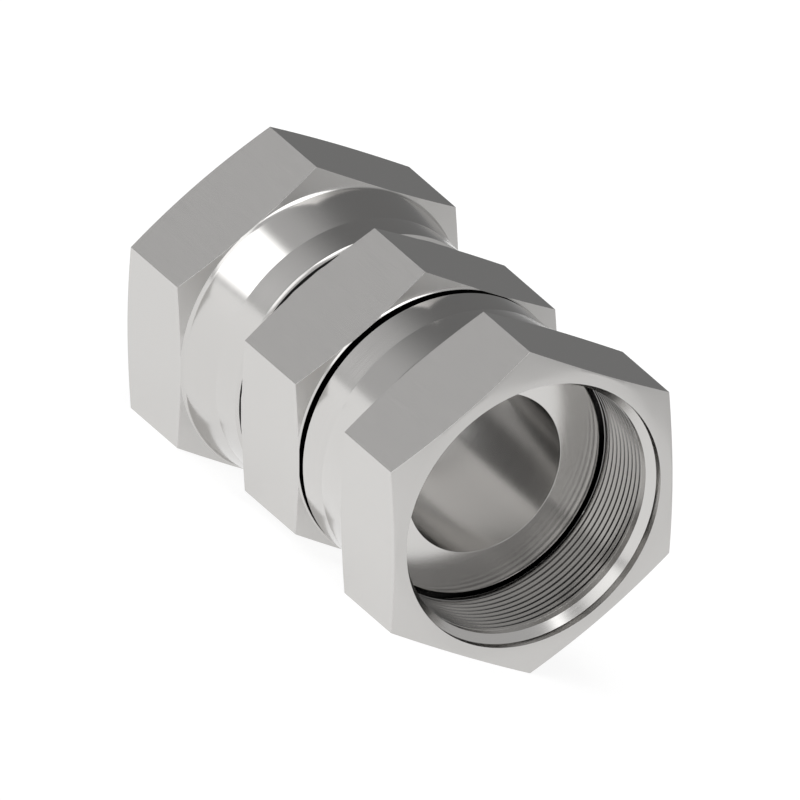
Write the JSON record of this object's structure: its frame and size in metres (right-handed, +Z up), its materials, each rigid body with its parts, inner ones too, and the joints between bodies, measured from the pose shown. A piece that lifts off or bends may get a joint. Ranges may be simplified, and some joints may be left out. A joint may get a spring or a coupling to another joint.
{
  "type": "straight swivel union fitting",
  "caption": "Straight hydraulic union with a through bore, flat sealing faces and a freely turning hexagon nut on each end.",
  "frame": {"origin": "centre of the fitting, on the flow axis and midway between the two nuts", "axes": "+X along the flow axis towards the front nut, +Z up, with a flat of every hexagon facing down"},
  "size_m": [0.0792, 0.055, 0.0476],
  "materials": {
    "body_steel": "bright turned stainless steel",
    "nut_steel": "bright turned stainless steel"
  },
  "bodies": {
    "body": {"body": "body_steel"},
    "front_nut": {"front_nut": "nut_steel"},
    "rear_nut": {"rear_nut": "nut_steel"}
  },
  "joints": [
    {"name": "front_swivel", "type": "hinge", "parent": "body", "child": "front_nut", "pos_m": [0.0185, 0, 0], "axis": [1, 0, 0], "continuous": true},
    {"name": "rear_swivel", "type": "hinge", "parent": "body", "child": "rear_nut", "pos_m": [-0.0185, 0, 0], "axis": [1, 0, 0], "continuous": true}
  ]
}
